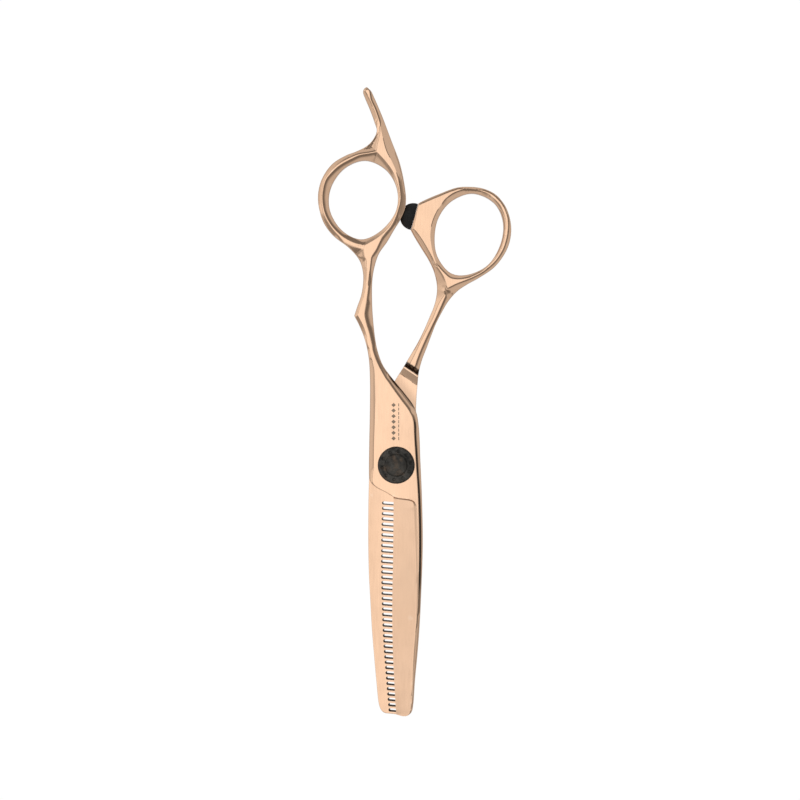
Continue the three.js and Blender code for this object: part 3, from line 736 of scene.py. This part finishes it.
def toothed_half():
    boss = np.array([*THUMB_BOSS, TOOTHED_RIGHT[0]])
    right = spline([*TOOTHED_RIGHT, TOOTH_TIPS[0]])
    left = spline([*TOOTHED_LEFT, THUMB_BOSS[0]])
    openings, slots = slotted_tips()
    outer = np.vstack([spline(boss), right, openings, left])
    right = np.vstack([right, TOOTH_TIPS[0]])
    left = np.vstack([left, THUMB_BOSS[0]])
    tip_line = spline([*TOOTH_TIPS, TOOTHED_LEFT[0]])
    hole = spline(THUMB_HOLE, closed=True)
    wells = well_rims(COUNTERBORE, GLIDE_RECESS)
    flats = [stitched(THUMB_FLAT)[0], stitched(SHANK_FLAT)[0], ribbon(THUMB_CREST)]
    flat_rims = [closed(flat) for flat in flats]
    lines = [*wells, *flat_rims, *slots, *step_lines()]
    plan = plan_mesh([outer, hole, circle(TOOTHED_BORE, 48)], lines)

    def drop(p):
        x, y = p.T
        left_of_flat = between(5.3 + (y - 27) * 0.43 - x, 0, 0.4)
        soft = between(y, 22, 26) * (1 - between(y, 44, 49)) * left_of_flat
        slope = locally(p, FACET_SLOPE - (FACET_SLOPE - THUMB_SHANK_SLOPE) * soft, TOOTHED_SLOPES)
        rounding = locally(p, ROUNDING, TOOTHED_ROUNDINGS)
        rim = nearest(p, (left, right, boss, closed(hole)))
        crease = locally(p, 0.0, TOOTHED_CREASES)
        facets = np.minimum(facet_drop(gap_to(p, flats), slope, rounding, crease), MOST_DROP)
        return facets + rim_drop(rim, locally(p, RIM_RADIUS, TOOTHED_RIMS))

    def top(p):
        height = THICKNESS - drop(p)
        step = step_height(p, STEP_START, STEP_TOWARDS)
        across = np.clip((p[:, 0] + 1.0) / 6.5, -1, 1)
        face = TOOTHED_INNER_Z + (THICKNESS - TOOTHED_INNER_Z) * np.minimum(step, 1)
        face -= INNER_HOLLOW * (1 - across**2) * (step <= 0)
        rim = rim_drop(nearest(p, (left, right)), INNER_ROUND)
        return sunk(p, GLIDE_RECESS, np.minimum(height, face - rim - slot_drop(p)))

    def bottom(p):
        y = p[:, 1]
        flat = (TOOTHED_INNER_Z - TIP_THICKNESS) * blade_fraction(y)
        tip_z = TOOTHED_INNER_Z - TOOTH_TIP_THICKNESS
        span = distance_to(p, tip_line)
        ground = tip_z - (tip_z - flat - 0.15) * np.clip(span / 7.6, 0, 1)
        height = flat + drop(p) * (1 - BLADE_FLATTER * blade_fraction(y))
        height += np.maximum(ground - height, 0) * smoothstep((BLADE_START_Y - y) / 0.6)
        return sunk(p, COUNTERBORE, height)

    def hollow(p):
        # Painted shade in the step's hollow.
        s = (p - np.array(STEP_START)) @ np.array(STEP_TOWARDS)
        step_shade_amount = between(s, 0, STEP_SHADE["start"]) * between(s, STEP_RUN, STEP_RUN - STEP_SHADE["end"])
        step_shade_amount *= between(p[:, 1], 23, 23.5)
        # Faint painted shade on the inner face beside the straight half's ride.
        crossing = distance_to(p, np.array([(-0.8, 22.0), (4.6, 15.6)]))
        shade_beside_ride = 0.3 * between(crossing, 4.0, 0.5) * between(p[:, 1], 12, 14) * (s < -LEDGE["run"])
        return np.maximum(step_shade_amount, shade_beside_ride)

    def shaded_slot_walls(p):
        # Painted shade: every upper face on a slot's walls takes the full dark tone.
        return beside_slots(p)[0] < 0

    return relief_object("toothed_half_forging", plan, top, bottom, hollow, shaded_slot_walls)


# ---------------------------------------------------------------- turned and moulded pieces
def rings_object(name, rings, start, end, sharp_deg):
    """A closed skin over rings of points, all with the same count, between two end points."""
    count = len(rings[0])
    coords = [start, *[point for ring in rings for point in ring], end]
    polygons = [(0, 1 + (k + 1) % count, 1 + k) for k in range(count)]
    for j in range(len(rings) - 1):
        a, b = 1 + j * count, 1 + (j + 1) * count
        polygons += [(a + k, a + (k + 1) % count, b + (k + 1) % count, b + k) for k in range(count)]
    last = 1 + (len(rings) - 1) * count
    polygons += [(last + k, last + (k + 1) % count, last + count) for k in range(count)]
    return mesh_object(name, coords, polygons, sharp_deg)


def turned(name, profile, count=128, lower=None):
    """A turned piece from a profile of radius and height that starts and ends on the axis."""
    unit = circle(1.0, count)
    rings = []
    for radius, height in profile[1:-1]:
        plan = unit * radius
        heights = height - (lower(plan, height) if lower else 0) * np.ones(count)
        rings.append(np.column_stack([plan, heights]))
    return rings_object(name, rings, (0, 0, profile[0][1]), (0, 0, profile[-1][1]), 50)


DIMPLES = {"count": 10, "circle": 3.85, "radius": 0.45, "depth": 0.24, "first_deg": 9.0}
DIAL_LIP_RADIUS = 3.02
DIAL_LIP_BEVEL = 0.03
DIAL_WELL_FLOOR = 6.1


def dial_body():
    low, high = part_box("dial")
    bottom, top = low.z / MM, high.z / MM
    first = math.radians(DIMPLES["first_deg"])
    places = circle(DIMPLES["circle"], DIMPLES["count"]) @ np.array(
        [[math.cos(first), math.sin(first)], [-math.sin(first), math.cos(first)]]
    )

    def lower(plan, height):
        if height < top - 0.3:
            return 0
        gap = np.linalg.norm(plan[:, None] - places, axis=2).min(1) / DIMPLES["radius"]
        return DIMPLES["depth"] * np.sqrt(np.clip(1 - gap**2, 0, 1))

    under = [(0, bottom), (2.3, bottom), (3.7, bottom), (3.7, 5.2), (4.65, 5.2), (4.87, 5.22), (5.0, 5.36)]
    side = [(5.0, 6.2), (4.99, 6.32), (4.95, 6.42), (4.88, 6.5), (4.79, 6.56), (4.69, 6.59)]
    face = [(radius, top) for radius in np.arange(4.61, DIAL_LIP_RADIUS + 0.04, -0.06)]
    lip = [(DIAL_LIP_RADIUS + DIAL_LIP_BEVEL, top), (DIAL_LIP_RADIUS, top - DIAL_LIP_BEVEL)]
    well = [(radius, DIAL_WELL_FLOOR) for radius in (DIAL_LIP_RADIUS, 1.0, 0)]
    return turned("dial_body", [*under, *side, *face, *lip, *well], 360, lower)


def dial_centre():
    low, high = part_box("dial_cap")
    bottom, top = low.z / MM, high.z / MM
    crown = [(radius, top - 0.03 * (radius / 3.0) ** 2) for radius in (2.97, 2.6, 2.2, 1.7, 1.1, 0.5, 0)]
    profile = [(0, bottom), (2.2, bottom), (3.0, bottom), (3.0, top - 0.06), *crown]
    return turned("dial_centre", profile)


BUMPER = {"x": 4.94, "y": 66.95, "half_width": 3.68, "half_thickness": 2.34, "height": 3.72, "fullness": 2.15}
BUMPER_OUT = np.array([-0.9636, 0.2727])
BUMPER_GAP = 0.02
BUMPER_FOOT = 0.06
BUMPER_PRESS = 0.04


def bumper_dome():
    """An oval rubber dome on the boss's end face, pressed flat where the closed finger ring meets it."""
    ring, _ = stitched(STRAIGHT_OUTLINE)
    foot = np.array([BUMPER["x"], BUMPER["y"]])
    side = np.array([BUMPER_OUT[1], -BUMPER_OUT[0]])
    power = 2 / BUMPER["fullness"]
    unit = circle(1.0, 96)

    def placed(across, up):
        flat = foot + np.outer(across, side) + np.outer(up, BUMPER_OUT)
        for _ in range(60):
            near = inside(flat, ring) | (distance_to(flat, closed(ring)) < BUMPER_GAP)
            flat[near] -= BUMPER_PRESS * BUMPER_OUT
        return flat

    rings = []
    lifts = [(0.955, BUMPER_FOOT), (0.985, 0.1)]
    for a in np.linspace(0.09, 1.5, 26):
        lifts.append((math.cos(a) ** power, 0.16 + BUMPER["height"] * math.sin(a) ** power))
    for scale, up in lifts:
        across = BUMPER["half_width"] * scale * unit[:, 0]
        rise = BUMPER["half_thickness"] * scale * unit[:, 1]
        plan = placed(across, np.full(len(unit), min(up, BUMPER["height"] + BUMPER_FOOT)))
        rings.append(np.column_stack([plan, MID + rise]))
    start = (*placed(np.zeros(1), np.array([BUMPER_FOOT]))[0], MID)
    end = (*placed(np.zeros(1), np.array([BUMPER["height"] + BUMPER_FOOT]))[0], MID)
    return rings_object("bumper_dome", rings, start, end, 60)


MARKS = {"lozenges": 7, "dashes": 9, "low": 6.6, "high": 16.8, "into": 0.03, "proud": 0.006}
LOZENGE = [(1, 0), (0, 1), (-1, 0), (0, -1)]
SQUARE = [(1, -1), (1, 1), (-1, 1), (-1, -1)]


def etched_marks():
    """A generic ornament on the ride: a column of lozenges beside a broken line, with no lettering."""
    coords, polygons = [], []

    def plate(shape, x, y, half_x, half_y):
        base = len(coords)
        for z in (THICKNESS - MARKS["into"], THICKNESS + MARKS["proud"]):
            coords.extend((x + a * half_x, y + b * half_y, z) for a, b in shape)
        polygons.append(tuple(base + i for i in (3, 2, 1, 0)))
        polygons.append(tuple(base + i for i in (4, 5, 6, 7)))
        for i in range(4):
            j = (i + 1) % 4
            polygons.append((base + i, base + j, base + 4 + j, base + 4 + i))

    for y in np.linspace(MARKS["low"] + 0.6, MARKS["high"] - 0.6, MARKS["lozenges"]):
        plate(LOZENGE, -0.72, y, 0.62, 0.58)
    pitch = (MARKS["high"] - MARKS["low"]) / MARKS["dashes"]
    for i in range(MARKS["dashes"]):
        plate(SQUARE, 0.66, MARKS["low"] + (i + 0.5) * pitch, 0.11, pitch * 0.36)
    return mesh_object("etched_marks", coords, polygons, 30)


# ---------------------------------------------------------------- materials
class Nodes:
    """The node tree of a material or world, with short calls for the nodes that it takes."""

    def __init__(self, owner):
        owner.use_nodes = True
        self.owner = owner
        self.tree = owner.node_tree
        self.shader = next((n for n in self.tree.nodes if n.type == "BSDF_PRINCIPLED"), None)
        self.coordinates = self.add("ShaderNodeTexCoord")

    def add(self, kind, **settings):
        node = self.tree.nodes.new(kind)
        for key, value in settings.items():
            setattr(node, key, value)
        return node

    def feed(self, node, **inputs):
        """Sets or links a node's inputs by name or number, and gives its first output."""
        for key, value in inputs.items():
            socket = node.inputs[int(key[1:])] if key[0] == "i" and key[1:].isdigit() else node.inputs[key]
            if isinstance(value, bpy.types.NodeSocket):
                self.tree.links.new(value, socket)
            else:
                socket.default_value = value
        return node.outputs[0] if node.outputs else None

    def noise(self, scale, stretch=(1, 1, 1), detail=3.0, rough=0.5):
        place = self.add("ShaderNodeMapping")
        self.feed(place, Vector=self.coordinates.outputs["Object"], Scale=stretch)
        node = self.add("ShaderNodeTexNoise")
        return self.feed(node, Vector=place.outputs[0], Scale=scale, Detail=detail, Roughness=rough)

    def remap(self, value, low, high, start=0.3, end=0.7, smooth=False):
        node = self.add("ShaderNodeMapRange", interpolation_type="SMOOTHSTEP" if smooth else "LINEAR")
        return self.feed(node, i0=value, i1=start, i2=end, i3=low, i4=high)

    def math(self, operation, a, b=0.0):
        return self.feed(self.add("ShaderNodeMath", operation=operation), i0=a, i1=b)

    def mix(self, factor, a, b):
        node = self.add("ShaderNodeMix", data_type="RGBA")
        for key, colour in (("A", a), ("B", b)):
            colour = (*colour, 1) if isinstance(colour, tuple) else colour
            self.feed(node, **{"Factor": factor, key: colour})
        return node.outputs["Result"]

    def bump(self, height, strength, distance, normal=None):
        node = self.add("ShaderNodeBump")
        self.feed(node, Strength=strength, Distance=distance, Height=height)
        if normal:
            self.feed(node, Normal=normal)
        return node.outputs[0]

    def pointiness(self, low, high):
        return self.remap(self.add("ShaderNodeNewGeometry").outputs["Pointiness"], 0, 1, low, high)


def material(name):
    return Nodes(bpy.data.materials.new(name))


def polished_metal(
    name, base, dark, roughness, brush=(1, 1, 1), brush_scale=900.0, worn=None, painted_shade_colour=None
):
    """Polished metal: an uneven tone, and fine lines and slow ripples left by polishing. Rubbed edges have
    the worn colour, and the attribute hollow mixes in a painted shade colour, where those are given."""
    n = material(name)
    tone = n.mix(n.remap(n.noise(60, detail=4), 0, 1), dark, base)
    if worn:
        tone = n.mix(n.pointiness(0.52, 0.60), tone, worn)
    if painted_shade_colour:
        # The attribute hollow mixes in painted shade.
        hollow = n.add("ShaderNodeAttribute", attribute_name="hollow").outputs["Fac"]
        tone = n.mix(hollow, tone, painted_shade_colour)
    lines = n.noise(brush_scale, stretch=brush, detail=2, rough=0.6)
    patches = n.remap(n.noise(140), roughness * 0.85, roughness * 1.15)
    rough = n.math("ADD", patches, n.remap(lines, -0.02, 0.04))
    ripple = n.bump(n.noise(110, detail=1), 1.0, 0.00006)
    n.feed(n.shader, **{"Base Color": tone, "Metallic": 1.0, "Roughness": rough})
    n.feed(n.shader, Normal=n.bump(lines, 0.25, 0.000003, ripple))
    return n.owner


rose_gold = polished_metal(
    "rose_gold_polish",
    base=(0.965, 0.645, 0.44),
    dark=(0.94, 0.615, 0.41),
    worn=(0.985, 0.69, 0.49),
    # painted shade: the dark colour that the attribute hollow mixes in
    painted_shade_colour=(0.1, 0.078, 0.06),
    roughness=0.13,
    brush=(1.0, 0.06, 1.0),
    brush_scale=3000,
)
steel = polished_metal("bright_steel", (0.62, 0.62, 0.62), (0.54, 0.54, 0.55), 0.25, brush=(1, 0.1, 1))
spring_steel = polished_metal("spring_steel", (0.42, 0.42, 0.44), (0.34, 0.34, 0.36), 0.3)
bronze = polished_metal("bearing_bronze", (0.58, 0.38, 0.16), (0.48, 0.3, 0.12), 0.38)


def satin_black():
    """Black anodised aluminium, mottled brown and darker in patches."""
    n = material("satin_black")
    mottling = n.remap(n.noise(330, detail=6, rough=0.6), 0, 1, 0.4, 0.56)
    tone = n.mix(mottling, (0.03, 0.028, 0.025), (0.085, 0.078, 0.068))
    tone = n.mix(n.remap(n.noise(520, detail=4), 0, 1, 0.52, 0.7), tone, (0.14, 0.098, 0.068))
    tone = n.mix(n.remap(n.noise(150), 0, 1, 0.5, 0.62), tone, (0.012, 0.011, 0.01))
    grain = n.bump(n.noise(6000, detail=2), 0.3, 0.00001)
    rough = n.remap(n.noise(1500), 0.24, 0.36)
    n.feed(n.shader, **{"Base Color": tone, "Metallic": 0.6, "Roughness": rough, "Normal": grain})
    return n.owner


def moulded_rubber():
    """Black rubber with a fine moulded grain."""
    n = material("black_rubber")
    grain = n.noise(3500, rough=0.6)
    tone = n.mix(n.remap(grain, 0, 1), (0.003, 0.003, 0.003), (0.009, 0.0088, 0.0085))
    rough = n.remap(n.noise(1200), 0.55, 0.75)
    n.feed(n.shader, **{"Base Color": tone, "Roughness": rough, "Normal": n.bump(grain, 0.5, 0.00006)})
    return n.owner


def white_polymer():
    """Natural low-friction polymer, slightly yellow and matt."""
    n = material("glide_polymer")
    tone = n.mix(n.remap(n.noise(500), 0, 1), (0.78, 0.76, 0.7), (0.86, 0.84, 0.79))
    rough = n.remap(n.noise(1500), 0.4, 0.6)
    grain = n.bump(n.noise(3000), 0.3, 0.00002)
    n.feed(n.shader, **{"Base Color": tone, "Roughness": rough, "Normal": grain})
    return n.owner


def etched_dark():
    """The brown of an etched mark."""
    n = material("etched_dark")
    tone = n.mix(n.remap(n.noise(2500), 0, 1), (0.45, 0.34, 0.24), (0.6, 0.46, 0.33))
    n.feed(n.shader, **{"Base Color": tone, "Metallic": 0.2, "Roughness": n.remap(n.noise(2000), 0.5, 0.7)})
    return n.owner


black = satin_black()
rubber = moulded_rubber()
polymer = white_polymer()
etched = etched_dark()


# ---------------------------------------------------------------- the pieces
PIECES = [
    # maker, body, CAD nodes that it stands for, slot, material
    (straight_half, "straight_half", ["straight_blade_half"], "rose_gold_steel", rose_gold),
    (toothed_half, "toothed_half", ["toothed_blade_half"], "rose_gold_steel", rose_gold),
    (etched_marks, "straight_half", [], "rose_gold_steel", etched),
    (dial_body, "dial_assembly", ["dial"], "dial_black", black),
    (dial_centre, "dial_assembly", ["dial_cap"], "dial_black", black),
    (bumper_dome, "toothed_half", ["bumper"], "bumper_rubber", rubber),
]
for maker, body, nodes, slot, surface in PIECES:
    piece = maker()
    piece.data.materials.append(surface)
    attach(piece, body)
    if nodes:
        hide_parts(*nodes)

CAD_FINISH = [
    (steel, ["pivot_bolt", "click_plate", "retaining_screw", "bumper_pin"]),
    (spring_steel, ["spring_washer", "click_spring"]),
    (bronze, ["back_washer", "pivot_bushing"]),
    (polymer, ["glide_washer"]),
]
for surface, nodes in CAD_FINISH:
    for node in nodes:
        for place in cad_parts[node].material_slots:
            place.material = surface


# ---------------------------------------------------------------- floor, light and camera
# In metres.
FLOOR_HALF = 3.0
FLOOR_GAP = 0.00002


def floor():
    """A white floor that shows the faintest shadow and is mid-grey in the metal's reflections."""
    z = cad_bounds[0][2] - FLOOR_GAP
    mesh = bpy.data.meshes.new("floor")
    corners = [(x * FLOOR_HALF, y * FLOOR_HALF, z) for x, y in SQUARE]
    mesh.from_pydata(corners, [], [(0, 1, 2, 3)])
    obj = in_scene("floor", mesh)
    n = material("pale_floor")
    n.feed(n.shader, **{"Base Color": (0.06, 0.06, 0.06, 1), "Roughness": 0.9})
    n.feed(n.shader, **{"Emission Color": (1, 1, 1, 1), "Emission Strength": 0.98})
    grey = n.add("ShaderNodeEmission")
    n.feed(grey, Color=(1, 1, 1, 1), Strength=0.5)
    both = n.add("ShaderNodeMixShader")
    seen = n.add("ShaderNodeLightPath").outputs["Is Camera Ray"]
    n.feed(both, i0=seen, i1=grey.outputs[0], i2=n.shader.outputs[0])
    end = next(node for node in n.tree.nodes if node.type == "OUTPUT_MATERIAL")
    n.feed(end, Surface=both.outputs[0])
    obj.data.materials.append(n.owner)


# Brightness of the surround by degrees from overhead, which leans a little to the left.
OVERHEAD_TILT = 2.5
SURROUND = {
    "sides": [
        (0, 1.16), (4, 1.12), (8, 0.98), (11, 0.6), (14, 0.2), (38, 0.18), (46, 0.42), (54, 0.6),
        (66, 0.6), (82, 0.4),
    ],
    "right": [
        (0, 1.16), (4, 1.1), (8, 0.92), (11, 0.5), (14, 0.19), (36, 0.17), (44, 0.3), (53, 0.58),
        (64, 0.6), (76, 0.28), (90, 0.28),
    ],
    "left": [
        (0, 1.16), (5, 1.12), (9, 1.0), (12, 0.42), (15, 0.36), (17.5, 0.62), (20, 0.8), (25, 0.9),
        (28, 0.94), (38, 0.9), (46, 0.74), (60, 0.66), (72, 0.42), (90, 0.3),
    ],
    "near_left": [
        (0, 1.16), (4, 1.12), (8, 0.98), (12, 0.45), (16, 0.3), (42, 0.3), (52, 0.62), (60, 0.7),
        (74, 0.4), (90, 0.28),
    ],
}


def studio_world():
    """A soft surround: bright overhead, a ring round that which is dark to the right, and grey walls."""
    world = bpy.data.worlds.new("studio")
    bpy.context.scene.world = world
    n = Nodes(world)

    def vector(operation, a, b=(0, 0, 0), output=0):
        node = n.add("ShaderNodeVectorMath", operation=operation)
        n.feed(node, i0=a, i1=b)
        return node.outputs[output]

    def level(stops):
        node = n.add("ShaderNodeValToRGB")
        elements = node.color_ramp.elements
        while len(elements) < len(stops):
            elements.new(0.5)
        for element, (degrees, grey) in zip(elements, stops):
            element.position = degrees / 180
            element.color = (grey, grey, grey, 1)
        return n.feed(node, Fac=angle)

    def towards(x, y, start, end):
        facing = vector("DOT_PRODUCT", compass, (x, y, 0), output=1)
        return n.remap(facing, 0, 1, start, end, smooth=True)

    direction = n.coordinates.outputs["Generated"]
    tilt = math.radians(OVERHEAD_TILT)
    overhead = vector("DOT_PRODUCT", direction, (-math.sin(tilt), 0, math.cos(tilt)), output=1)
    angle = n.math("DIVIDE", n.math("ARCCOSINE", overhead), math.pi)
    compass = vector("NORMALIZE", vector("MULTIPLY", direction, (1, 1, 0)))
    light = n.mix(towards(1, 0, 0.25, 0.8), level(SURROUND["sides"]), level(SURROUND["right"]))
    light = n.mix(towards(-1, 0, 0.3, 0.85), light, level(SURROUND["left"]))
    light = n.mix(towards(-0.85, -0.53, 0.93, 0.99), light, level(SURROUND["near_left"]))
    n.feed(n.tree.nodes["Background"], Color=light)


# The photograph's centre and width in metres, in the plane where the blades meet.
VIEW_CENTRE = (0.00101, 0.01755)
VIEW_WIDTH = 0.216


def camera():
    """A long lens straight overhead."""
    data = bpy.data.cameras.new("camera")
    data.lens = 200.0
    data.sensor_width = 36.0
    obj = in_scene("camera", data)
    obj.location = (*VIEW_CENTRE, data.lens / data.sensor_width * VIEW_WIDTH + MID * MM)
    bpy.context.scene.camera = obj


floor()
studio_world()
camera()
bpy.context.scene.view_settings.view_transform = "Standard"
